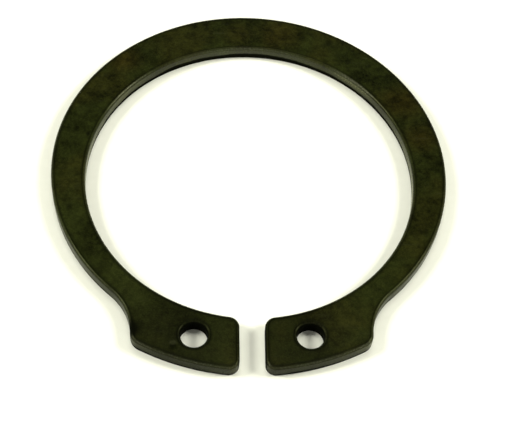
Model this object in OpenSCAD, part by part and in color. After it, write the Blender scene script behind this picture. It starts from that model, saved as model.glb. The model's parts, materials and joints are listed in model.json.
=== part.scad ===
// External retaining ring for a 35 mm shaft, lying flat with its gap towards -Y.
// The origin is on the shaft's axis, in the plane of the underside.

/* [Band] */
// Inside diameter of the free ring, before it is opened over the shaft
free_bore_d = 32.2; // [31.6:0.1:32.8]
// Thickness of the spring strip that the ring is blanked from
thickness = 1.5; // [1.2:0.05:1.75]
// Width of the band at the back, opposite the gap, where it is widest
band_back_w = 4.45; // [3.8:0.05:4.7]
// Width that the band tapers to, measured at the gap, where the lugs take over
band_front_w = 2.3; // [2:0.05:2.7]

/* [Lugs] */
// Height of the lugs' ends over the bore, measured at the gap
lug_h = 5.35; // [5.1:0.05:5.6]
// Width of a lug, from its face on the gap to its outer side
lug_w = 9.95; // [9.4:0.05:10.5]
// How far the centre of the arc along the lugs' ends lies behind the bore's centre
lug_tip_offset = 0.75; // [0.5:0.05:1]
// Radius of a lug's outer corner
lug_corner_r = 1.4; // [1.1:0.05:1.7]
// Radius of the fillet between a lug and the band
root_fillet_r = 6.1; // [5:0.1:7]

/* [Gap] */
// Width of the gap between the lugs
gap_w = 2.35; // [1.8:0.05:3]
// Radius where the gap opens into the bore
gap_inner_r = 1.05; // [0.9:0.05:1.4]
// Radius where the gap opens at the lugs' ends
gap_outer_r = 0.95; // [0.8:0.05:1.2]

/* [Plier holes] */
// Diameter of the holes for the pliers' tips
plier_hole_d = 2.5; // [2:0.1:2.8]
// Distance from a lug's face on the gap to the centre of its hole
plier_hole_from_gap = 4.15; // [3.7:0.05:4.5]
// Distance from the bore to the centre of a hole
plier_hole_from_bore = 2.6; // [2.35:0.05:2.75]

/* [Edges] */
// Radius of the upper face's edges, drawn in as the strip was blanked
upper_edge_r = 0.3; // [0.15:0.01:0.35]
// Radius of the underside's edges, rounded by tumbling
lower_edge_r = 0.12; // [0.05:0.01:0.2]

/* [Hidden] */

$fa = 2;
$fs = 0.1;

phosphated_steel = [0.17, 0.17, 0.11];

bore_r = free_bore_d / 2;
band_outer_r = bore_r + (band_back_w + band_front_w) / 2;
eccentricity = (band_back_w - band_front_w) / 2;
lug_tip_r = bore_r + lug_h + lug_tip_offset;
plier_hole_r = plier_hole_d / 2;

// Width of the strip of metal that carries a rounded edge, and how far it laps over the metal behind it
rim_w = 2 * max(upper_edge_r, lower_edge_r);
lap = rim_w / 2;

// How far two pieces that meet in one plane reach into each other, so that no crack is left
seam = 1e-8;

// Height added above and below whatever trims the plate, and reach past its outline
over = 1;
reach = 1.5 * lug_tip_r;

// Centres of the arcs that follow one another along the outline of the right half
bore_c = [0, 0];
band_c = [0, eccentricity];
tip_c = [0, lug_tip_offset];
corner_c = below(tip_c, lug_tip_r - lug_corner_r, gap_w / 2 + lug_w - lug_corner_r);
fillet_c = meeting(band_c, band_outer_r + root_fillet_r, corner_c, lug_corner_r + root_fillet_r);
mouth_in_c = below(bore_c, bore_r + gap_inner_r, gap_w / 2 + gap_inner_r);
mouth_out_c = below(tip_c, lug_tip_r - gap_outer_r, gap_w / 2 + gap_outer_r);
plier_hole_c = below(bore_c, bore_r + plier_hole_from_bore, gap_w / 2 + plier_hole_from_gap);

// Points past the lug's end, in line with the centres of the arcs that meet there
past_corner = away(tip_c, corner_c, lug_h);
past_mouth = away(tip_c, mouth_out_c, lug_h);
past_mouth_in = away(bore_c, mouth_in_c, lug_h);

// The point at distance d from c, on its lower side, that lies at the given x
function below(c, d, x) = [x, c.y - sqrt(d ^ 2 - (x - c.x) ^ 2)];

// The point at distance ra from a and rb from b, on the right of the lug
function meeting(a, ra, b, rb) =
    let (
        d = norm(b - a),
        along = (ra ^ 2 - rb ^ 2 + d ^ 2) / (2 * d),
        across = sqrt(ra ^ 2 - along ^ 2),
        u = (b - a) / d
    )
    a + along * u + across * [-u.y, u.x];

// The point that lies a length past b, on the line from a through b
function away(a, b, length) = b + length * (b - a) / norm(b - a);

// A point's twin on the left half
function twin(p) = [-p.x, p.y];

// Puts something at c, hundredths first, so that arcs which touch still touch once the digits are cut
module at(c) {
    hundredths = [round(100 * c.x), round(100 * c.y)] / 100;
    translate(hundredths) translate(c - hundredths) children();
}

// Both halves of something that is drawn on the right
module both_halves() {
    children();
    mirror([1, 0, 0]) children();
}

// A quarter of a disc, in the corner towards +X and +Y
module quarter_disc(r) {
    intersection() {
        circle(r);
        square(2 * r);
    }
}

// Section of the plate from x = 0 to an edge at x = w, with that edge's two roundings
module plate_section(w) {
    upper = w - upper_edge_r;
    lower = w - lower_edge_r;
    top = thickness - upper_edge_r;
    polygon([
        [0, 0], [lower, 0], [lower, lower_edge_r], [w, lower_edge_r],
        [w, top], [upper, top], [upper, thickness], [0, thickness]
    ]);
    translate([upper, top]) quarter_disc(upper_edge_r);
    translate([lower, lower_edge_r]) mirror([0, 1]) quarter_disc(lower_edge_r);
}

// A round plate whose outer edge has the roundings
module disc_plate(c, r) {
    at(c) rotate_extrude() plate_section(r);
}

// A flat ring of width w round a hole of radius r, with the roundings on the hole's edge
module rim_plate(c, r, w) {
    at(c) rotate_extrude() translate([r + w, 0]) mirror([1, 0]) plate_section(w);
}

// A prism that reaches above and below the plate
module trim(points) {
    translate([0, 0, -over]) linear_extrude(thickness + 2 * over) polygon(points);
}

// A plain hole right through the plate
module through_hole(c, r) {
    at(c) translate([0, 0, -over]) cylinder(h = thickness + 2 * over, r = r);
}

// The right lug, up to the centres of its corners on the gap
module lug() {
    // The web inside the root fillet
    intersection() {
        rim_plate(fillet_c, root_fillet_r, reach);
        trim([band_c, mouth_in_c, corner_c, fillet_c]);
    }
    disc_plate(corner_c, lug_corner_r);
    // The body, ended by the tip arc
    intersection() {
        disc_plate(tip_c, lug_tip_r);
        trim([tip_c, mouth_out_c, past_mouth, past_corner, corner_c]);
    }
}

// The right lug's face on the gap, with the corners at both of its ends
module gap_face() {
    depth = max(gap_inner_r, gap_outer_r) + lap;
    // The inner corner stops where the bore's rim begins
    intersection() {
        disc_plate(mouth_in_c, gap_inner_r);
        trim([bore_c, past_mouth_in + [seam, 0], [0, past_mouth_in.y]]);
    }
    disc_plate(mouth_out_c, gap_outer_r);
    translate([gap_w / 2 + depth, mouth_in_c.y, 0]) rotate([90, 0, 0])
        linear_extrude(mouth_in_c.y - mouth_out_c.y) mirror([1, 0]) plate_section(depth);
}

// Everything between the centres of the gap's corners, which the two gap faces then line
module gap_cut() {
    trim([
        bore_c, mouth_in_c, mouth_out_c, past_mouth,
        twin(past_mouth), twin(mouth_out_c), twin(mouth_in_c)
    ]);
}

// The rim of the seat that grips the shaft's groove, open at the gap
module bore_rim() {
    difference() {
        rim_plate(bore_c, bore_r, rim_w + lap);
        trim([
            bore_c, mouth_in_c, [mouth_in_c.x, -reach],
            [-mouth_in_c.x, -reach], twin(mouth_in_c)
        ]);
    }
}

// The whole ring, one solid
module retaining_ring() {
    color(phosphated_steel) {
        difference() {
            union() {
                disc_plate(band_c, band_outer_r);
                both_halves() lug();
            }
            gap_cut();
            through_hole(bore_c, bore_r + rim_w);
            both_halves() through_hole(plier_hole_c, plier_hole_r + rim_w);
        }
        bore_rim();
        both_halves() {
            gap_face();
            rim_plate(plier_hole_c, plier_hole_r, rim_w + lap);
        }
    }
}

retaining_ring();
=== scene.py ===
"""An external retaining ring for a 35 mm shaft, lying on a pale floor in soft studio light.

The ring is blanked from spring strip, tumbled, phosphated and oiled. Its mesh is swept along an outline
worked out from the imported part's sizes, and its walls have what blanking leaves: a rounded upper edge, a
smooth sheared land and a rough broken zone below it. Lengths are in metres.
"""

import json
import logging
import math
from dataclasses import dataclass, field
from enum import Enum
from typing import Any, Iterable, Mapping, Optional, Union

import bpy
import numpy as np
from mathutils import Matrix, Vector, geometry, noise

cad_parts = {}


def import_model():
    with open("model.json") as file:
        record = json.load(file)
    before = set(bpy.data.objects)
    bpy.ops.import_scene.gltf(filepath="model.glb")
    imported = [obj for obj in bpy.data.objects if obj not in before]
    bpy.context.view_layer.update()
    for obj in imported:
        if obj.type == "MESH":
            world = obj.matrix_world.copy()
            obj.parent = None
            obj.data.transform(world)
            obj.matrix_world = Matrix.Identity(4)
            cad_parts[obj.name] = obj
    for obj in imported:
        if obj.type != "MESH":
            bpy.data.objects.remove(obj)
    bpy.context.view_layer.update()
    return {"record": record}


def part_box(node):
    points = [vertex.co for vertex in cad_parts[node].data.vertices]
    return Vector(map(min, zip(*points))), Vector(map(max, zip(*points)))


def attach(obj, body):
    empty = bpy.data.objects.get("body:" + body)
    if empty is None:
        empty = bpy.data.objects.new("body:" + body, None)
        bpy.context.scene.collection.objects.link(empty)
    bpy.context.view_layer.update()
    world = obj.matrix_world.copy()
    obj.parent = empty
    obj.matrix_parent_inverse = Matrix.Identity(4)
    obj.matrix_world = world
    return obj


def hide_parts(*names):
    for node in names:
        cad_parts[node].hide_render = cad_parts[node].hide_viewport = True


LOG = logging.getLogger("retaining_ring")
MM = 0.001
TINY = 1e-9  # a length that counts as nothing
NODE = "retaining_ring"
BODY = "root"

Colour = tuple[float, float, float]
Point = tuple[float, float]


class Zone(Enum):
    """What the mesh tells the finish about each point: a named number from 0 to 1."""

    WALL = "wall"
    # The broken zone, raised in places as painted shade at the wall's foot
    BROKEN = "broken"
    # Painted shade: hole walls and gap faces are made near black and dull
    RECESS_SHADE = "soot_and_shade"
    # Painted shade lines and spots, and the dark floors of dents
    SHADE_AND_PITS = "rim"
    # The worn crest, and painted highlights at the bright spots
    WEAR_AND_HIGHLIGHT = "worn"
    BROWN = "brown"


class MixKind(Enum):
    """How a colour is laid over another."""

    MIX = "MIX"
    MULTIPLY = "MULTIPLY"


class Term:
    """A shader socket that Python's operators add nodes to."""

    def __init__(self, graph: "Graph", socket: bpy.types.NodeSocket) -> None:
        """Wraps one of the graph's sockets."""
        self.graph = graph
        self.socket = socket

    def _apply(self, operation: str, first: "Value", second: "Value") -> "Term":
        """Adds the node that an operator stands for: Math for a value, Vector Math or Mix for the others.

        Args:
            operation: The operation's name in Blender. A colour can only be multiplied.
            first: Its first value.
            second: Its second value.

        Returns:
            The node's output.
        """
        if self.socket.type == "RGBA":
            return self.graph.mix(1.0, first, second, MixKind[operation])
        kind = "ShaderNodeVectorMath" if self.socket.type == "VECTOR" else "ShaderNodeMath"
        return self.graph.node(kind, {"operation": operation}, {0: first, 1: second})

    def __add__(self, other: "Value") -> "Term":
        """The sum of both."""
        return self._apply("ADD", self, other)

    def __radd__(self, other: "Value") -> "Term":
        """The sum of both, with the term on the right."""
        return self._apply("ADD", other, self)

    def __sub__(self, other: "Value") -> "Term":
        """The term less the other."""
        return self._apply("SUBTRACT", self, other)

    def __rsub__(self, other: "Value") -> "Term":
        """The other less the term."""
        return self._apply("SUBTRACT", other, self)

    def __mul__(self, other: "Value") -> "Term":
        """The product of both."""
        return self._apply("MULTIPLY", self, other)

    def __rmul__(self, other: "Value") -> "Term":
        """The product of both, with the term on the right."""
        return self._apply("MULTIPLY", other, self)

    def clipped(self) -> "Term":
        """The term, held between 0 and 1."""
        return self.graph.node("ShaderNodeClamp", {}, {"Value": self})

    def step(self, low: float, high: float) -> "Term":
        """A smooth step.

        Args:
            low: Where the step leaves 0.
            high: Where it reaches 1.

        Returns:
            0 below the step, 1 above it and a smooth rise between them.
        """
        settings = {"interpolation_type": "SMOOTHSTEP"}
        sockets = {"Value": self, "From Min": low, "From Max": high}
        return self.graph.node("ShaderNodeMapRange", settings, sockets)


Value = Union[Term, float, Colour]


class Graph:
    """The nodes of a material or of the sky, which are all made by one method."""

    def __init__(self, tree: bpy.types.NodeTree) -> None:
        """Empties the tree that the nodes go into."""
        self.tree = tree
        self.tree.nodes.clear()

    @classmethod
    def material(cls, name: str) -> tuple["Graph", bpy.types.Material]:
        """Makes an empty material.

        Args:
            name: The material's name.

        Returns:
            Its nodes, and the material.
        """
        made = bpy.data.materials.new(name)
        made.use_nodes = True
        return cls(made.node_tree), made

    def node(
        self,
        kind: str,
        settings: Optional[Mapping[str, Any]] = None,
        sockets: Optional[Mapping[Union[int, str], Value]] = None,
        output: Union[int, str] = 0,
    ) -> Term:
        """Adds a node.

        Args:
            kind: The node's type.
            settings: The node's own properties, which are set first.
            sockets: Values or terms for its inputs, by name or by number.
            output: The output that is handed back.

        Returns:
            That output, or the node's first input where it has no output.
        """
        made = self.tree.nodes.new(kind)
        for name, setting in (settings or {}).items():
            setattr(made, name, setting)
        for name, value in (sockets or {}).items():
            entry = made.inputs[name]
            if isinstance(value, Term):
                self.tree.links.new(value.socket, entry)
            elif entry.type == "RGBA" and isinstance(value, tuple):
                entry.default_value = (*value, 1.0)
            else:
                entry.default_value = value
        return Term(self, made.outputs[output]) if made.outputs else Term(self, made.inputs[0])

    def mix(self, factor: Value, low: Value, high: Value, kind: MixKind = MixKind.MIX) -> Term:
        """Lays the second colour over the first, as far as the factor says."""
        settings = {"data_type": "RGBA", "blend_type": kind.value, "clamp_factor": True}
        return self.node("ShaderNodeMix", settings, {0: factor, 6: low, 7: high}, output=2)

    def cloud(self, place: Term, scale: float, detail: float = 2.0, roughness: float = 0.5) -> Term:
        """Adds a soft noise about 0.5. The scale is its waves per unit of the place."""
        sockets = {"Vector": place, "Scale": scale, "Detail": detail, "Roughness": roughness}
        return self.node("ShaderNodeTexNoise", {"noise_dimensions": "3D"}, sockets)

    def zone(self, zone: Zone) -> Term:
        """What the mesh says of a zone at each point, from 0 to 1."""
        settings = {"attribute_type": "GEOMETRY", "attribute_name": zone.value}
        return self.node("ShaderNodeAttribute", settings, output="Fac")


@dataclass(frozen=True)
class Pattern:
    """A soft noise that rises from 0 to 1 between two of its values."""

    scale: float
    low: float
    high: float
    detail: float = 2.0
    roughness: float = 0.5

    def share(self, graph: Graph, place: Term) -> Term:
        """How much of the pattern there is at a place, from 0 to 1."""
        return graph.cloud(place, self.scale, self.detail, self.roughness).step(self.low, self.high)


@dataclass(frozen=True)
class Scratches:
    """Fine scratches that run one way, in patches."""

    turn: float
    patch: Pattern
    stretch: tuple[float, float, float] = (0.35, 9.0, 1.0)
    line: Pattern = Pattern(1.0, 0.70, 0.76, detail=1.0, roughness=0.4)

    def share(self, graph: Graph, place: Term) -> Term:
        """Adds the scratches.

        Args:
            graph: The material's nodes.
            place: The point in millimetres.

        Returns:
            1 in a scratch, and 0 beside it.
        """
        turned = (0.0, 0.0, math.radians(self.turn))
        sockets = {"Vector": place, "Rotation": turned, "Scale": self.stretch}
        lined = graph.node("ShaderNodeMapping", {"vector_type": "POINT"}, sockets)
        return self.line.share(graph, lined) * self.patch.share(graph, place)


@dataclass(frozen=True)
class PhosphatedSteel:
    """Spring steel with a dark phosphate coat, tumbled before it and oiled after it.

    Its patterns are in millimetres. A field with "on" in its name says how much of the one shows on the
    other, and one with "in" how much of the one goes into the other.
    """

    olive: Colour = (0.0092, 0.0117, 0.0022)
    brown: Colour = (0.0150, 0.0110, 0.0016)
    # Near black: the broken zone's colour, and the colour of painted shade
    soot_and_shade: Colour = (0.0014, 0.0016, 0.0005)
    # Light grey olive: dust in scratches, worn edges and painted highlights
    dust_and_highlight: Colour = (0.0300, 0.0320, 0.0160)
    # Bare steel on worn places and on painted highlights
    steel_and_highlight: Colour = (0.16, 0.16, 0.12)
    sheen: Colour = (0.95, 1.0, 0.30)

    roughness: float = 0.26
    oil_roughness: float = 0.16
    broken_roughness: float = 0.70
    specular: float = 0.06
    broken_specular: float = 0.01
    oil_on_face: float = 0.02
    oil_on_wall: float = 0.42

    tone: float = 0.15
    blotches: tuple[tuple[float, Pattern], ...] = (
        (0.62, Pattern(3.0, 0.30, 0.70, roughness=0.6)),
        (0.50, Pattern(0.9, 0.32, 0.68)),
        (0.53, Pattern(0.22, 0.32, 0.68)),
    )
    stain: Pattern = Pattern(0.16, 0.46, 0.66, detail=3.0, roughness=0.55)
    scratches: tuple[Scratches, ...] = (
        Scratches(24.0, Pattern(0.35, 0.530, 0.630, detail=1.0)),
        Scratches(-51.0, Pattern(0.35, 0.560, 0.660, detail=1.0)),
        Scratches(83.0, Pattern(0.35, 0.545, 0.645, detail=1.0)),
    )
    grain_scale: float = 7.0
    crystal_scale: float = 22.0
    bare_grain: tuple[float, float] = (0.45, 0.62)
    bare_between: float = 0.25
    broken_grain: tuple[float, float] = (0.45, 0.75)

    stain_on_coat: float = 0.30
    dust_on_scratch: float = 0.25
    soot_on_shade_and_pits: float = 0.65
    dust_on_wear_and_highlight: float = 0.5
    worn_gain: float = 1.2
    steel_on_bare_and_highlight: float = 0.35
    metal_on_bare_and_highlight: float = 0.4
    olive_on_broken: float = 0.2
    dull_on_shade_and_pits: float = 0.6
    dullest: float = 0.98

    grain_in_roughness: float = 0.25
    scratch_in_roughness: float = 0.10
    grain_in_height: float = 0.6
    crystal_in_height: float = 0.25
    scratch_in_height: float = 0.8
    relief: float = 0.006 * MM
    relief_strength: float = 0.6

    def material(self) -> bpy.types.Material:
        """Builds the finish.

        Returns:
            Its material.
        """
        graph, made = Graph.material("phosphated_oiled_steel")
        place = graph.node("ShaderNodeTexCoord", output="Object") * (1 / MM, 1 / MM, 1 / MM)
        grain = graph.cloud(place, self.grain_scale, roughness=0.6)
        first, *others = (run.share(graph, place) for run in self.scratches)
        scratch = sum(others, first).clipped()
        normal = self._normal(graph, place, grain, scratch)
        oiled = self._oiled(graph, place, grain, scratch, normal)
        broken = self._broken_and_shade(graph, grain, normal)
        # The dull dark shader takes the broken zone and all the painted shade
        dull_and_shade = graph.zone(Zone.BROKEN) + graph.zone(Zone.RECESS_SHADE) + self.dull_on_shade_and_pits * graph.zone(Zone.SHADE_AND_PITS)
        sockets = {0: dull_and_shade.clipped() * self.dullest, 1: oiled, 2: broken}
        surface = graph.node("ShaderNodeMixShader", {}, sockets)
        graph.node("ShaderNodeOutputMaterial", {}, {"Surface": surface})
        return made

    def _normal(self, graph: Graph, place: Term, grain: Term, scratch: Term) -> Term:
        """The relief of the crystals and the scratches.

        Args:
            graph: The material's nodes.
            place: The point in millimetres.
            grain: The coat's grain.
            scratch: 1 in a scratch.

        Returns:
            The normal that it gives.
        """
        crystal = graph.cloud(place, self.crystal_scale, detail=1.0)
        height = grain * self.grain_in_height + crystal * self.crystal_in_height
        height = height - scratch * self.scratch_in_height
        sockets = {"Strength": self.relief_strength, "Distance": self.relief, "Height": height}
        return graph.node("ShaderNodeBump", {}, sockets)

    def _coat(self, graph: Graph, place: Term) -> Term:
        """The coat's colour, with its stains, crystals and blotches.

        Args:
            graph: The material's nodes.
            place: The point in millimetres.

        Returns:
            The mottled colour.
        """
        stain = self.stain_on_coat * self.stain.share(graph, place)
        brown = (graph.zone(Zone.BROWN) + stain).clipped()
        tone: Value = self.tone
        for weight, blotch in self.blotches:
            tone = tone + weight * blotch.share(graph, place)
        return graph.mix(brown, self.olive, self.brown) * tone

    def _oiled(self, graph: Graph, place: Term, grain: Term, scratch: Term, normal: Term) -> Term:
        """The coat under its film of oil, worn through in places, with painted highlights and painted shade
        laid on it.

        Args:
            graph: The material's nodes.
            place: The point in millimetres.
            grain: The coat's grain.
            scratch: 1 in a scratch.
            normal: The relief's normal.

        Returns:
            The shader.
        """
        # Crest wear, and painted highlights where the bright spots lie
        worn = graph.zone(Zone.WEAR_AND_HIGHLIGHT)
        spared = self.bare_between + (1 - self.bare_between) * grain.step(*self.bare_grain)
        bare_and_highlight = (worn * spared).clipped()
        colour = self._coat(graph, place)
        colour = graph.mix(scratch * self.dust_on_scratch, colour, self.dust_and_highlight)
        # Painted shade: the lines along the edges and the dark spots, with the floors of dents
        colour = graph.mix(graph.zone(Zone.SHADE_AND_PITS) * self.soot_on_shade_and_pits, colour, self.soot_and_shade)
        colour = graph.mix((worn * self.worn_gain).clipped() * self.dust_on_wear_and_highlight, colour, self.dust_and_highlight)
        colour = graph.mix(bare_and_highlight * self.steel_on_bare_and_highlight, colour, self.steel_and_highlight)
        rough = self.roughness + (grain - 0.5) * self.grain_in_roughness
        rough = rough - scratch * self.scratch_in_roughness
        oil = self.oil_on_face + (self.oil_on_wall - self.oil_on_face) * graph.zone(Zone.WALL)
        sockets = {
            "Base Color": colour,
            "Metallic": bare_and_highlight * self.metal_on_bare_and_highlight,
            "Roughness": rough,
            "Specular IOR Level": self.specular,
            "Specular Tint": self.sheen,
            "Coat Weight": oil,
            "Coat Roughness": self.oil_roughness,
            "Coat Tint": self.sheen,
            "Normal": normal,
        }
        return graph.node("ShaderNodeBsdfPrincipled", {}, sockets)

    def _broken_and_shade(self, graph: Graph, grain: Term, normal: Term) -> Term:
        """The torn metal of the broken zone, which is near black and dry. The same shader paints shade on
        hole walls, gap faces and edge lines.

        Args:
            graph: The material's nodes.
            grain: The coat's grain.
            normal: The relief's normal.

        Returns:
            The shader.
        """
        olive = grain.step(*self.broken_grain) * self.olive_on_broken
        sockets = {
            "Base Color": graph.mix(olive, self.soot_and_shade, self.olive),
            "Roughness": self.broken_roughness,
            "Specular IOR Level": self.broken_specular,
            "Normal": normal,
        }
        return graph.node("ShaderNodeBsdfPrincipled", {}, sockets)


@dataclass(frozen=True)
class PaleFloor:
    """The matt white sheet that the ring lies on."""

    white: Colour = (0.90, 0.905, 0.80)
    shade: Colour = (0.88, 0.885, 0.78)
    fibre: Pattern = Pattern(900.0, 0.3, 0.7, detail=3.0)
    roughness: float = 0.9
    specular: float = 0.2

    def material(self) -> bpy.types.Material:
        """Builds the sheet's finish.

        Returns:
            Its material.
        """
        graph, made = Graph.material("white_sheet")
        place = graph.node("ShaderNodeTexCoord", output="Object")
        sockets = {
            "Base Color": graph.mix(self.fibre.share(graph, place), self.white, self.shade),
            "Roughness": self.roughness,
            "Specular IOR Level": self.specular,
        }
        surface = graph.node("ShaderNodeBsdfPrincipled", {}, sockets)
        graph.node("ShaderNodeOutputMaterial", {}, {"Surface": surface})
        return made


@dataclass(frozen=True)
class Arc:
    """A round stretch of the outline.

    Its points are at centre + radius * n, where n is the way out of the metal, so a hollow's radius is less
    than 0. Start and end are that way at the first point and at the last.
    """

    centre: Point
    radius: float
    start: Point
    end: Point

    def normals(self, spacing: float) -> np.ndarray:
        """Ways out of the metal along the arc.

        Args:
            spacing: The longest step between two points.

        Returns:
            One unit vector for each point, the first and last included.
        """
        begin = math.atan2(self.start[1], self.start[0])
        turn = math.atan2(self.end[1], self.end[0]) - begin
        turn = (turn + math.pi) % (2 * math.pi) - math.pi
        steps = max(2, math.ceil(abs(self.radius * turn) / spacing))
        angles = begin + turn * np.linspace(0.0, 1.0, steps + 1)
        return np.column_stack([np.cos(angles), np.sin(angles)])

    def points(self, spacing: float) -> np.ndarray:
        """The arc's points, one row for each of its normals."""
        return np.array(self.centre) + self.radius * self.normals(spacing)


@dataclass(frozen=True)
class Loop:
    """A closed line with the way out of the metal at each point."""

    points: np.ndarray
    normals: np.ndarray

    def inset(self, depth: float) -> np.ndarray:
        """The line's points, moved into the metal by a depth."""
        return self.points - depth * self.normals


def ramp(values: np.ndarray, start: float, full: float) -> np.ndarray:
    """0 up to the start, 1 from the full value on, and a straight rise between them."""
    return np.clip((values - start) / (full - start), 0.0, 1.0)


def hump(values: np.ndarray, middle: float, width: float) -> np.ndarray:
    """1 at the middle, falling softly to 0 on both sides."""
    return np.exp(-(((values - middle) / width) ** 2))


def below(centre: Point, distance: float, x: float) -> Point:
    """The point under a centre and at a distance from it that has the given x."""
    return (x, centre[1] - math.sqrt(distance**2 - (x - centre[0]) ** 2))


def meeting(a: Point, from_a: float, b: Point, from_b: float) -> Point:
    """The point at given distances from two others, on the left of the way from the first to the second.

    Args:
        a: The first point.
        from_a: The distance from it.
        b: The second point.
        from_b: The distance from it.

    Returns:
        The point.
    """
    span = math.dist(a, b)
    along = (from_a**2 - from_b**2 + span**2) / (2 * span)
    across = math.sqrt(from_a**2 - along**2)
    u = ((b[0] - a[0]) / span, (b[1] - a[1]) / span)
    return (a[0] + along * u[0] - across * u[1], a[1] + along * u[1] + across * u[0])


@dataclass(frozen=True)
class RingOutline:
    """The ring seen from above, as arcs that run into one another.

    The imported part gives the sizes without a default. The others are those of its source.
    """

    bore_r: float
    band_r: float
    eccentricity: float
    tip_reach: float
    hole_r: float
    hole_centres: tuple[Point, ...]
    thickness: float
    lug_w: float = 9.95 * MM
    tip_offset: float = 0.75 * MM
    corner_r: float = 1.4 * MM
    root_r: float = 6.1 * MM
    gap_w: float = 2.35 * MM
    mouth_inner_r: float = 1.05 * MM
    mouth_outer_r: float = 0.95 * MM

    @classmethod
    def from_frame(cls, record: Mapping[str, Any]) -> "RingOutline":
        """Takes the ring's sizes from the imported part.

        Args:
            record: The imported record.

        Returns:
            The outline.
        """
        low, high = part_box(NODE)
        mounts = {mount["name"]: mount for mount in record["mounts"]}
        holes = [mounts["plier_hole_left"], mounts["plier_hole_right"]]
        return cls(
            bore_r=mounts["groove_seat"]["dims"]["r_mm"] * MM,
            band_r=high.x,
            eccentricity=high.y - high.x,
            tip_reach=-low.y,
            hole_r=holes[0]["dims"]["r_mm"] * MM,
            hole_centres=tuple((hole["pos_m"][0], hole["pos_m"][1]) for hole in holes),
            thickness=high.z,
        )

    def _arcs(self) -> list[Arc]:
        """The right half, from the back of the band round the lug to the back of the bore."""
        bore = (0.0, 0.0)
        band = (0.0, self.eccentricity)
        tip = (0.0, self.tip_offset)
        # The lugs reach lowest at the ends of their tip arc, beside the gap
        mouth_x = self.gap_w / 2 + self.mouth_outer_r
        mouth_down = self.tip_offset + self.tip_reach - self.mouth_outer_r
        tip_r = self.mouth_outer_r + math.hypot(mouth_x, mouth_down)
        mouth_out = below(tip, tip_r - self.mouth_outer_r, mouth_x)
        mouth_in = below(bore, self.bore_r + self.mouth_inner_r, self.gap_w / 2 + self.mouth_inner_r)
        corner = below(tip, tip_r - self.corner_r, self.gap_w / 2 + self.lug_w - self.corner_r)
        root = meeting(band, self.band_r + self.root_r, corner, self.corner_r + self.root_r)
        places = [
            (band, self.band_r),
            (root, -self.root_r),
            (corner, self.corner_r),
            (tip, tip_r),
            (mouth_out, self.mouth_outer_r),
            (mouth_in, self.mouth_inner_r),
            (bore, -self.bore_r),
        ]
        # Arcs that touch share their way out. The gap's straight side, between its two corners, faces -X
        turns = [(0.0, 1.0)]
        for (a, a_r), (b, b_r) in zip(places, places[1:]):
            if a is mouth_out:
                turns.append((-1.0, 0.0))
            else:
                turns.append(((b[0] - a[0]) / (a_r - b_r), (b[1] - a[1]) / (a_r - b_r)))
        turns.append((0.0, -1.0))
        return [Arc(c, r, start, end) for (c, r), start, end in zip(places, turns, turns[1:])]

    def edge(self, spacing: float) -> Loop:
        """The ring's one long edge, round the band, the lugs, the gap and the bore.

        Args:
            spacing: The longest step between two points.

        Returns:
            The edge as a loop.
        """
        points: list[np.ndarray] = []
        normals: list[np.ndarray] = []
        last: Optional[np.ndarray] = None
        for arc in self._arcs():
            run, ways = arc.points(spacing), arc.normals(spacing)
            if last is not None:
                straight = np.linalg.norm(run[0] - last)
                steps = math.ceil(straight / spacing)
                for share in np.linspace(0.0, 1.0, steps + 1)[1:-1]:
                    points.append(last + share * (run[0] - last))
                    normals.append(ways[0])
                if straight < TINY:
                    run, ways = run[1:], ways[1:]
            points.extend(run)
            normals.extend(ways)
            last = points[-1]
        right, right_ways = np.array(points), np.array(normals)
        mirror = np.array([-1.0, 1.0])
        left, left_ways = right[-2:0:-1] * mirror, right_ways[-2:0:-1] * mirror
        return Loop(np.vstack([right, left]), np.vstack([right_ways, left_ways]))

    def holes(self, spacing: float) -> list[Loop]:
        """The plier holes' edges.

        Args:
            spacing: The longest step between two points.

        Returns:
            One loop for each hole.
        """
        steps = math.ceil(2 * math.pi * self.hole_r / spacing)
        angles = np.linspace(0.0, 2 * math.pi, steps, endpoint=False)
        ways = np.column_stack([np.cos(angles), np.sin(angles)])
        return [Loop(np.array(centre) + self.hole_r * ways, -ways) for centre in self.hole_centres]


@dataclass(frozen=True)
class Spot:
    """A round place on the ring, seen from above, with something of its own."""

    x: float
    y: float
    reach: float
    strength: float

    def share(self, points: np.ndarray) -> np.ndarray:
        """The strength at each point, from the full one at the middle down to 0 at the reach."""
        away = np.hypot(points[..., 0] - self.x, points[..., 1] - self.y) / self.reach
        return self.strength * np.clip(1.0 - away**2, 0.0, 1.0) ** 2


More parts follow.
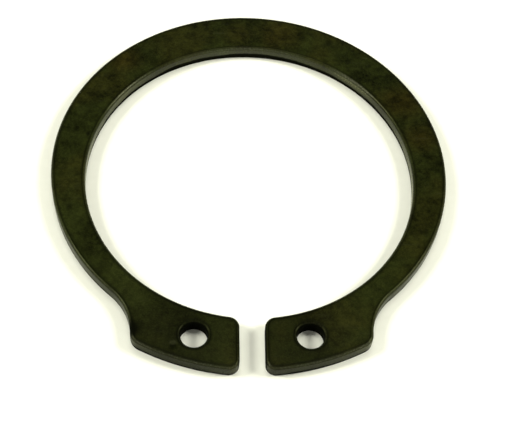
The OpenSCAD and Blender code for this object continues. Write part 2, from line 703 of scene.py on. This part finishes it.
@dataclass(frozen=True)
class Marks:
    """What the making and handling left on this ring, and the shade and highlights painted on it.

    A dent's strength is its depth, and that of raised_break_and_shade is how much higher the broken zone
    reaches.
    """

    stains: tuple[Spot, ...] = (
        Spot(-12.8 * MM, 14.3 * MM, 2.6 * MM, 0.7),
        Spot(3.6 * MM, 18.4 * MM, 3.4 * MM, 0.6),
        Spot(16.0 * MM, 9.4 * MM, 3.2 * MM, 0.7),
        Spot(17.1 * MM, 4.8 * MM, 2.6 * MM, 0.6),
        Spot(-1.2 * MM, 18.0 * MM, 2.4 * MM, 0.4),
    )
    # Painted shade: the lugs' faces are darkened, and a painted shadow lies at the left lug's outer root
    painted_shade: tuple[Spot, ...] = (
        Spot(-6.5 * MM, -18.0 * MM, 8.5 * MM, 0.60),
        Spot(3.8 * MM, -18.6 * MM, 6.5 * MM, 0.60),
        Spot(-11.05 * MM, -17.4 * MM, 1.2 * MM, 1.6),
    )
    dents: tuple[Spot, ...] = (
        Spot(-7.19 * MM, -19.07 * MM, 0.45 * MM, 0.050 * MM),
        Spot(-15.9 * MM, 4.6 * MM, 0.50 * MM, 0.045 * MM),
        Spot(8.6 * MM, 17.1 * MM, 0.60 * MM, 0.020 * MM),
        Spot(-17.4 * MM, -4.2 * MM, 0.55 * MM, 0.018 * MM),
    )
    # Painted highlights on the bore's walls and along the lugs' edges, partly wear at the corners
    bright: tuple[Spot, ...] = (
        Spot(1.35 * MM, -20.68 * MM, 0.9 * MM, 0.9),
        Spot(-10.9 * MM, -18.5 * MM, 1.3 * MM, 0.7),
        Spot(-10.2 * MM, -19.5 * MM, 1.3 * MM, 0.8),
        Spot(-1.6 * MM, -20.6 * MM, 0.9 * MM, 0.5),
        Spot(10.6 * MM, -18.9 * MM, 1.8 * MM, 0.8),
        Spot(-6.0 * MM, -20.6 * MM, 5.0 * MM, 0.35),
        Spot(6.0 * MM, -20.6 * MM, 5.0 * MM, 0.45),
        Spot(10.6 * MM, 11.6 * MM, 3.6 * MM, 3.0),
        Spot(-12.6 * MM, 10.6 * MM, 4.6 * MM, 1.2),
        Spot(-0.5 * MM, 16.1 * MM, 9.0 * MM, 0.5),
    )
    # The broken zone reaches higher over the bore and the back: partly a real fracture zone, partly painted
    # shade for the wall's darker foot
    raised_break_and_shade: Spot = Spot(0.0, 13.0 * MM, 24.0 * MM, 0.33 * MM)

    @staticmethod
    def total(spots: Iterable[Spot], points: np.ndarray) -> np.ndarray:
        """What several spots come to at each point."""
        return sum(spot.share(points) for spot in spots)


@dataclass(frozen=True)
class EdgeWear:
    """How tumbling, dust and oil left the edges and the walls, and where shade and highlights are painted
    on them.

    A turn is how far round the upper rounding a point lies, from 0 at the face to 1 at the wall. The crest
    is the line along the middle of that rounding, and the land the smooth part of the wall under it.
    """

    crest_turn: float = 0.50
    crest_width: float = 0.20
    crest_wear: float = 0.48
    crest_oil: float = 0.32
    crest_shade: float = 0.7
    streak_on_crest: float = 0.70
    streak_on_land: float = 0.50
    streak_from: float = 0.5 * MM
    streak_full: float = 1.1 * MM
    # Painted shade: a dark line where the face meets the rounding, and one under the rounding
    shade_turn: float = -0.04
    shade_width: float = 0.15
    shade_under: float = 0.35
    shade_under_width: float = 0.12 * MM
    # Painted shade on hole walls and gap faces sets in over this stretch of the rounding
    shade_from: float = 0.35
    shade_full: float = 0.75
    gloss_rise: int = 3
    outer_gloss: float = 0.27
    bore_gloss_from: float = 1.06
    bore_gloss_full: float = 1.01

    def gloss(self, reach: np.ndarray) -> np.ndarray:
        """How much oil there is, by the distance from the axis over the bore's radius."""
        in_bore = ramp(reach, self.bore_gloss_from, self.bore_gloss_full)
        return self.outer_gloss + (1 - self.outer_gloss) * in_bore

    def crest(self, turn: np.ndarray) -> np.ndarray:
        """How near each point lies to the crest, where tumbling rubs the coat thin."""
        return hump(turn, self.crest_turn, self.crest_width) * (turn < 1.0)

    def worn(self, turn: np.ndarray, gloss: np.ndarray, soot_and_shade: np.ndarray) -> np.ndarray:
        """How thin the coat is rubbed on the crest, less where oil lies and less under painted shade."""
        open_wear = self.crest_wear - self.crest_oil * gloss
        return self.crest(turn) * open_wear * (1 - self.crest_shade * soot_and_shade)

    def streaks(self, turn: np.ndarray, height: np.ndarray, broken: np.ndarray) -> np.ndarray:
        """How much of a bright place shows, painted highlight with some wear: most on the crest, and
        nothing on broken metal.
        """
        land = (1 - broken) * ramp(height, self.streak_from, self.streak_full)
        return np.where(turn < 1.0, self.streak_on_crest * self.crest(turn), self.streak_on_land * land)

    def shade_lines(
        self, turn: np.ndarray, height: np.ndarray, land_top: float, bright: np.ndarray
    ) -> np.ndarray:
        """The painted shade lines that border the upper rounding on both sides, as dark reflections painted
        along the edge.

        Args:
            turn: Each point's turn.
            height: Its height.
            land_top: The height at which the rounding meets the wall.
            bright: How strong the painted highlight and wear are there, which keeps the lower line off it.

        Returns:
            A share for each point.
        """
        under = hump(height, land_top - self.shade_under_width, self.shade_under_width)
        over = hump(turn, self.shade_turn, self.shade_width)
        return over + self.shade_under * under * (1 - np.clip(bright, 0.0, 1.0))


@dataclass(frozen=True)
class BlankedWall:
    """The section that blanking and tumbling leave at an edge, from the upper face to the underside.

    The broken zone's upper limit wanders along the wall, and its metal is torn a little way in. A wave is
    the length of a noise's waves, and a quick or fine noise is a share of the slower one.
    """

    thickness: float
    upper_r: float = 0.30 * MM
    lower_r: float = 0.12 * MM
    lead: float = 0.07 * MM
    arc_steps: int = 7
    wall_steps: int = 12
    face_turn: float = -0.2
    rounding_fade: float = 0.5

    broken_from: float = 0.34 * MM
    broken_blend: float = 0.16 * MM
    broken_taper: float = 0.035 * MM
    wander: float = 0.12 * MM
    wander_wave: float = 2.2 * MM
    quick_wander: float = 0.45
    quick_wander_wave: float = 0.35 * MM
    rough: float = 0.012 * MM
    rough_wave: float = 0.11 * MM
    fine_rough: float = 0.6
    fine_rough_wave: float = 0.05 * MM
    shear_lines: float = 0.0025 * MM
    shear_wave: float = 0.13 * MM
    shear_stretch: float = 0.04

    @property
    def land_top(self) -> float:
        """The height at which the upper rounding meets the wall."""
        return self.thickness - self.upper_r

    def rows(self) -> np.ndarray:
        """The section's points.

        Returns:
            A row for each: its depth in the metal, its height, and how far the upper rounding has turned,
            from 0 to 1, or less than 0 on a face.
        """
        turns = np.linspace(0.0, 1.0, self.arc_steps + 1)
        sines, cosines = np.sin(turns * math.pi / 2), np.cos(turns * math.pi / 2)
        heights = np.linspace(self.land_top, self.lower_r, self.wall_steps + 1)[1:-1]
        upper = [self.upper_r * (1 - sines), self.land_top + self.upper_r * cosines, turns]
        wall = [np.zeros_like(heights), heights, np.ones_like(heights)]
        lower = [self.lower_r * (1 - cosines), self.lower_r * (1 - sines), np.ones_like(turns)]
        return np.vstack([
            [(self.upper_r + self.lead, self.thickness, self.face_turn)],
            np.column_stack(upper),
            np.column_stack(wall),
            np.column_stack(lower),
            [(self.lower_r + self.lead, 0.0, self.face_turn)],
        ])

    def broken_share(self, point: Vector, extra: float) -> float:
        """How far a point of the wall lies in the broken zone.

        Args:
            point: The point.
            extra: How much higher than usual the zone reaches there.

        Returns:
            0 above the zone, 1 well inside it.
        """
        flat = Vector((point.x, point.y, 0.0))
        slow = noise.noise(flat / self.wander_wave)
        quick = noise.noise(flat / self.quick_wander_wave)
        edge = self.broken_from + extra + self.wander * (slow + self.quick_wander * quick)
        share = min(1.0, max(0.0, (edge - point.z) / self.broken_blend + 0.5))
        return share * share * (3 - 2 * share)

    def inward(self, point: Vector, share: float) -> float:
        """How far tearing and shearing moved a point of the wall into the metal.

        Args:
            point: The point.
            share: How far it lies in the broken zone.

        Returns:
            The distance.
        """
        fall = max(0.0, (self.broken_from - point.z) / self.broken_from)
        rough = noise.noise(point / self.rough_wave)
        rough += self.fine_rough * noise.noise(point / self.fine_rough_wave)
        along = Vector((point.x, point.y, point.z * self.shear_stretch))
        lines = noise.noise(along / self.shear_wave)
        torn = self.broken_taper * fall + self.rough * (1 + rough)
        return share * torn + (1 - share) * self.shear_lines * (1 + lines)


class MeshStore:
    """The points, zones and faces of a mesh while it is put together."""

    def __init__(self) -> None:
        """Starts empty."""
        self.points: list[np.ndarray] = []
        self.zones: list[np.ndarray] = []
        self.faces: list[list[int]] = []
        self.count = 0

    def add_points(self, points: np.ndarray, zones: Mapping[Zone, np.ndarray]) -> np.ndarray:
        """Adds points.

        Args:
            points: One row for each.
            zones: The zones that aren't 0 at all of them.

        Returns:
            Their numbers in the mesh.
        """
        blank = np.zeros(len(points))
        self.points.append(points)
        self.zones.append(np.column_stack([zones.get(zone, blank) for zone in Zone]))
        self.count += len(points)
        return np.arange(self.count - len(points), self.count)

    def add_strips(self, numbers: np.ndarray) -> None:
        """Adds the quads between closed rows of points.

        Args:
            numbers: The points' numbers, one row under the other.
        """
        after = np.roll(numbers, -1, axis=1)
        quads = np.stack([numbers[:-1], after[:-1], after[1:], numbers[1:]], axis=-1)
        self.faces += quads.reshape(-1, 4).tolist()

    def build(self, name: str) -> bpy.types.Object:
        """Makes the object.

        Args:
            name: Its name.

        Returns:
            The object.
        """
        mesh = bpy.data.meshes.new(name)
        mesh.from_pydata(np.vstack(self.points).tolist(), [], self.faces)
        mesh.polygons.foreach_set("use_smooth", [True] * len(mesh.polygons))
        shares = np.vstack(self.zones).astype(np.float32)
        for n, zone in enumerate(Zone):
            layer = mesh.attributes.new(zone.value, "FLOAT", "POINT")
            layer.data.foreach_set("value", shares[:, n])
        mesh.update()
        mesh.validate()
        made = bpy.data.objects.new(name, mesh)
        bpy.context.scene.collection.objects.link(made)
        return made


@dataclass
class RingBody:
    """The ring as one closed mesh."""

    outline: RingOutline
    finish: PhosphatedSteel = field(default_factory=PhosphatedSteel)
    marks: Marks = field(default_factory=Marks)
    wear: EdgeWear = field(default_factory=EdgeWear)
    along: float = 0.12 * MM
    upper_grid: float = 0.19 * MM
    lower_grid: float = 0.36 * MM
    rim_clearance: float = 0.6
    ripple: float = 0.0015 * MM
    ripple_wave: float = 0.9 * MM
    sooty_pit: float = 0.03 * MM
    # Where the gap's faces start to take painted shade, by how far they face sideways
    gap_side_from: float = 0.75

    def _wall_points(self, loop: Loop, wall: BlankedWall) -> tuple[np.ndarray, np.ndarray]:
        """The points of the wall that hangs from one loop.

        Args:
            loop: The edge seen from above.
            wall: The wall's section.

        Returns:
            The points, row by row, and how far each lies in the broken zone.
        """
        rows = wall.rows()
        points = np.empty((len(rows), len(loop.points), 3))
        broken = np.zeros(points.shape[:2])
        for k, (depth, height, _) in enumerate(rows):
            points[k, :, :2] = loop.inset(depth)
            points[k, :, 2] = height
        extra = self.marks.raised_break_and_shade.share(loop.points)
        for k in range(1, len(rows) - 1):
            fade = 1.0 if rows[k, 0] == 0.0 else wall.rounding_fade
            for i, way in enumerate(loop.normals):
                point = Vector(points[k, i])
                broken[k, i] = wall.broken_share(point, extra[i])
                points[k, i, :2] -= way * fade * wall.inward(point, broken[k, i])
        return points, broken

    def _wall_zones(
        self, points: np.ndarray, broken: np.ndarray, wall: BlankedWall, soot_and_shade: np.ndarray
    ) -> dict[Zone, np.ndarray]:
        """The zones at a wall's points.

        Args:
            points: The wall's points, row by row.
            broken: How far each lies in the broken zone.
            wall: The wall's section.
            soot_and_shade: How much painted shade darkens the wall at each of the loop's points.

        Returns:
            The zones, point by point.
        """
        wear = self.wear
        height = points[..., 2]
        turn = wall.rows()[:, 2][:, None]
        bright = self.marks.total(self.marks.bright, points)
        painted_shade = self.marks.total(self.marks.painted_shade, points)
        gloss = wear.gloss(np.hypot(points[..., 0], points[..., 1]) / self.outline.bore_r)
        zones = {
            Zone.WALL: ramp(turn, 0.0, 1.0) ** wear.gloss_rise * gloss,
            Zone.BROKEN: broken,
            # Painted shade on the hole walls and the gap's faces
            Zone.RECESS_SHADE: ramp(turn, wear.shade_from, wear.shade_full) * soot_and_shade,
            # Painted shade lines along the rounding, and painted shade spots
            Zone.SHADE_AND_PITS: wear.shade_lines(turn, height, wall.land_top, bright) + painted_shade,
            # Crest wear, and painted highlights at the bright spots
            Zone.WEAR_AND_HIGHLIGHT: wear.worn(turn, gloss, soot_and_shade) + wear.streaks(turn, height, broken) * bright,
            Zone.BROWN: self.marks.total(self.marks.stains, points),
        }
        return {zone: share.reshape(-1) for zone, share in zones.items()}

    def _add_wall(self, store: MeshStore, loop: Loop, soot_and_shade: np.ndarray) -> tuple[np.ndarray, np.ndarray]:
        """Adds the wall that hangs from one loop.

        Args:
            store: The mesh.
            loop: The edge seen from above.
            soot_and_shade: How much painted shade darkens the wall at each of the loop's points.

        Returns:
            The numbers of the points in its top row and in its bottom row.
        """
        wall = BlankedWall(self.outline.thickness)
        points, broken = self._wall_points(loop, wall)
        zones = self._wall_zones(points, broken, wall, soot_and_shade)
        numbers = store.add_points(points.reshape(-1, 3), zones).reshape(points.shape[:2])
        store.add_strips(numbers)
        return numbers[0], numbers[-1]

    def _edge_recess_shade(self, edge: Loop) -> np.ndarray:
        """How much painted shade darkens the long edge's wall at each point: the gap's faces are painted
        near black.

        Args:
            edge: The long edge.

        Returns:
            1 on the gap's faces, where shade is painted, and 0 where the wall shines.
        """
        facing = ramp(np.abs(edge.normals[:, 0]), self.gap_side_from, 1.0)
        inside = np.abs(edge.points[:, 0]) < self.outline.gap_w
        return facing * inside

    @staticmethod
    def _grid(outer: np.ndarray, step: float) -> np.ndarray:
        """A triangular grid over a face.

        Args:
            outer: The face's outer rim.
            step: The grid's step.

        Returns:
            Its points, also those past the rim.
        """
        low, high = outer.min(axis=0), outer.max(axis=0)
        rows = []
        for n, y in enumerate(np.arange(low[1], high[1], step * math.sqrt(3) / 2)):
            xs = np.arange(low[0] + (n % 2) * step / 2, high[0], step)
            rows.append(np.column_stack([xs, np.full_like(xs, y)]))
        return np.vstack(rows)

    def _fill(self, rims: list[np.ndarray], step: float) -> tuple[np.ndarray, np.ndarray]:
        """The triangles that fill a flat face.

        Args:
            rims: The outer rim and then the holes' rims, as points of the face.
            step: The step of the grid inside them.

        Returns:
            The points inside the rims, and the triangles, which count the rims' points first.
        """
        rim_points = np.vstack(rims)
        grid = self._grid(rims[0], step)
        grid = grid[self._on_face(grid, rims)]
        grid = grid[self._clearance(grid, rim_points) > self.rim_clearance * step]
        edges: list[tuple[int, int]] = []
        for rim in rims:
            first, count = len(edges), len(rim)
            edges += [(first + i, first + (i + 1) % count) for i in range(count)]
        everything = np.vstack([rim_points, grid])
        corners = [Vector(p) for p in everything / MM]
        _, _, faces, originals, _, _ = geometry.delaunay_2d_cdt(corners, edges, [], 0, TINY)
        triangles = np.array([original[0] for original in originals])[np.array(faces)]
        return grid, triangles[self._on_face(everything[triangles].mean(axis=1), rims)]

    @staticmethod
    def _on_face(points: np.ndarray, rims: list[np.ndarray]) -> np.ndarray:
        """Finds which points lie on the face, by counting the rims between each and its far right.

        Args:
            points: One row for each point.
            rims: The face's rims.

        Returns:
            True for each point inside the outer rim and outside the holes.
        """
        hit = np.zeros(len(points), bool)
        x, y = points[:, 0], points[:, 1]
        for rim in rims:
            for a, b in zip(rim, np.roll(rim, -1, axis=0)):
                if a[1] != b[1]:
                    crosses = (a[1] > y) != (b[1] > y)
                    hit ^= crosses & (x < (b[0] - a[0]) * (y - a[1]) / (b[1] - a[1]) + a[0])
        return hit

    @staticmethod
    def _clearance(points: np.ndarray, rim_points: np.ndarray) -> np.ndarray:
        """Each point's distance from the nearest of the rims' points.

        Args:
            points: One row for each point.
            rim_points: One row for each of the rims' points.

        Returns:
            The distances.
        """
        nearest = np.full(len(points), np.inf)
        for p in rim_points:
            nearest = np.minimum(nearest, np.hypot(points[:, 0] - p[0], points[:, 1] - p[1]))
        return nearest

    def _add_face(self, store: MeshStore, rims: list[np.ndarray], upper: bool) -> None:
        """Adds a face, with its ripples and, on the upper one, its dents and its painted shade.

        Args:
            store: The mesh.
            rims: The numbers of the points in its rims, the outer one first.
            upper: True for the upper face, False for the underside.
        """
        placed = np.vstack(store.points)
        step = self.upper_grid if upper else self.lower_grid
        grid, triangles = self._fill([placed[rim][:, :2] for rim in rims], step)
        ripples = np.array([noise.noise(Vector((x, y, 0.0)) / self.ripple_wave) for x, y in grid])
        dents = upper * self.marks.total(self.marks.dents, grid)
        # Painted shade that darkens the lugs' upper faces
        painted_shade = upper * self.marks.total(self.marks.painted_shade, grid)
        sunk = self.ripple * (1 + ripples) + dents
        heights = self.outline.thickness - sunk if upper else sunk
        zones = {
            Zone.BROWN: self.marks.total(self.marks.stains, grid),
            Zone.SHADE_AND_PITS: np.maximum(ramp(dents, 0.0, self.sooty_pit), painted_shade),
        }
        inner = store.add_points(np.column_stack([grid, heights]), zones)
        found = np.concatenate([*rims, inner])[triangles]
        store.faces += (found if upper else found[:, ::-1]).tolist()

    def build(self) -> bpy.types.Object:
        """Makes the mesh and its object.

        Returns:
            The object, in the part's frame.
        """
        store = MeshStore()
        edge = self.outline.edge(self.along)
        rims = [self._add_wall(store, edge, self._edge_recess_shade(edge))]
        # The hole walls are painted near black all round, as shade
        for hole in self.outline.holes(self.along):
            rims.append(self._add_wall(store, hole, np.ones(len(hole.points))))
        self._add_face(store, [top for top, _ in rims], upper=True)
        self._add_face(store, [bottom for _, bottom in rims], upper=False)
        return store.build("ring_body")

    def dress(self, ring: bpy.types.Object) -> None:
        """Gives the ring its finish and its place in the frame.

        Args:
            ring: The ring's object.
        """
        ring.data.materials.append(self.finish.material())
        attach(ring, BODY)
        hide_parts(NODE)


@dataclass(frozen=True)
class Softbox:
    """A flat light that hangs in the studio and faces the ring."""

    name: str
    place: tuple[float, float, float]
    width: float
    height: float
    power: float

    def build(self, colour: Colour) -> None:
        """Hangs the light.

        Args:
            colour: Its colour.
        """
        light = bpy.data.lights.new(self.name, "AREA")
        light.shape = "RECTANGLE"
        light.size, light.size_y = self.width, self.height
        light.energy = self.power
        light.color = colour
        box = bpy.data.objects.new(self.name, light)
        box.location = self.place
        box.rotation_mode = "QUATERNION"
        box.rotation_quaternion = Vector(self.place).to_track_quat("Z", "Y")
        box.visible_camera = False
        bpy.context.scene.collection.objects.link(box)


@dataclass
class Studio:
    """The floor, the lights and the camera."""

    floor_size: float = 3.0
    floor_finish: PaleFloor = field(default_factory=PaleFloor)
    light: Colour = (1.0, 1.0, 0.925)
    sky_strength: float = 0.15
    glow_front: float = 4.2
    glow_back: float = 2.1
    glow_top: float = 0.80
    softboxes: tuple[Softbox, ...] = (
        Softbox("softbox_left", (-0.445, 0.030, 0.402), 0.17, 0.17, 2.6),
        Softbox("softbox_right", (0.445, 0.030, 0.402), 0.17, 0.17, 2.6),
        Softbox("softbox_above", (0.0, 0.175, 0.572), 0.22, 0.11, 0.80),
    )
    azimuth: float = math.radians(-5.571)
    elevation: float = math.radians(56.351)
    roll: float = math.radians(5.554)
    distance: float = 130.35 * MM
    aim: tuple[float, float, float] = (0.981 * MM, -4.368 * MM, 0.0)
    lens: float = 92.683
    sensor: float = 36.0
    near: float = 0.005
    far: float = 10.0

    def build(self) -> None:
        """Makes the floor, the lights and the camera."""
        self._floor()
        self._sky()
        for softbox in self.softboxes:
            softbox.build(self.light)
        self._camera()
        bpy.context.scene.view_settings.view_transform = "Standard"

    def _floor(self) -> None:
        """Lays the sheet under the ring."""
        half = self.floor_size / 2
        corners = [(-half, -half, 0.0), (half, -half, 0.0), (half, half, 0.0), (-half, half, 0.0)]
        mesh = bpy.data.meshes.new("floor")
        mesh.from_pydata(corners, [], [(0, 1, 2, 3)])
        mesh.materials.append(self.floor_finish.material())
        floor = bpy.data.objects.new("floor", mesh)
        bpy.context.scene.collection.objects.link(floor)

    def _sky(self) -> None:
        """Sets the soft light from all round, with a glow that stands low in front and weaker behind."""
        world = bpy.data.worlds.new("studio")
        world.use_nodes = True
        graph = Graph(world.node_tree)
        way = graph.node("ShaderNodeTexCoord", output="Generated")
        depth = graph.node("ShaderNodeSeparateXYZ", {}, {0: way}, output="Y")
        height = graph.node("ShaderNodeSeparateXYZ", {}, {0: way}, output="Z")
        low = (1.0 - height * (1 / self.glow_top)).clipped()
        mean, lean = (self.glow_front + self.glow_back) / 2, (self.glow_back - self.glow_front) / 2
        strength = self.sky_strength + low * depth * depth * (mean + lean * depth)
        light = graph.node("ShaderNodeBackground", {}, {"Color": self.light, "Strength": strength})
        graph.node("ShaderNodeOutputWorld", {}, {"Surface": light})
        bpy.context.scene.world = world

    def _camera(self) -> None:
        """Sets up the camera at the photograph's angle."""
        data = bpy.data.cameras.new("camera")
        data.sensor_width = self.sensor
        data.lens = self.lens
        data.clip_start = self.near
        data.clip_end = self.far
        back = Vector((
            math.sin(self.azimuth) * math.cos(self.elevation),
            -math.cos(self.azimuth) * math.cos(self.elevation),
            math.sin(self.elevation),
        ))
        right = Vector((0.0, 0.0, 1.0)).cross(back).normalized()
        up = back.cross(right)
        turned = right * math.cos(self.roll) + up * math.sin(self.roll)
        camera = bpy.data.objects.new("camera", data)
        axes = Matrix((turned, back.cross(turned), back)).transposed()
        camera.matrix_world = Matrix.Translation(Vector(self.aim) + back * self.distance) @ axes.to_4x4()
        bpy.context.scene.collection.objects.link(camera)
        bpy.context.scene.camera = camera


def main() -> None:
    """Builds the ring and the studio."""
    logging.basicConfig(level=logging.INFO, format="%(message)s")
    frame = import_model()
    body = RingBody(RingOutline.from_frame(frame["record"]))
    ring = body.build()
    body.dress(ring)
    LOG.info("%s: %d points, %d faces", ring.name, len(ring.data.vertices), len(ring.data.polygons))
    Studio().build()
    LOG.info("studio: floor, lights and camera")


if __name__ == "__main__":
    main()
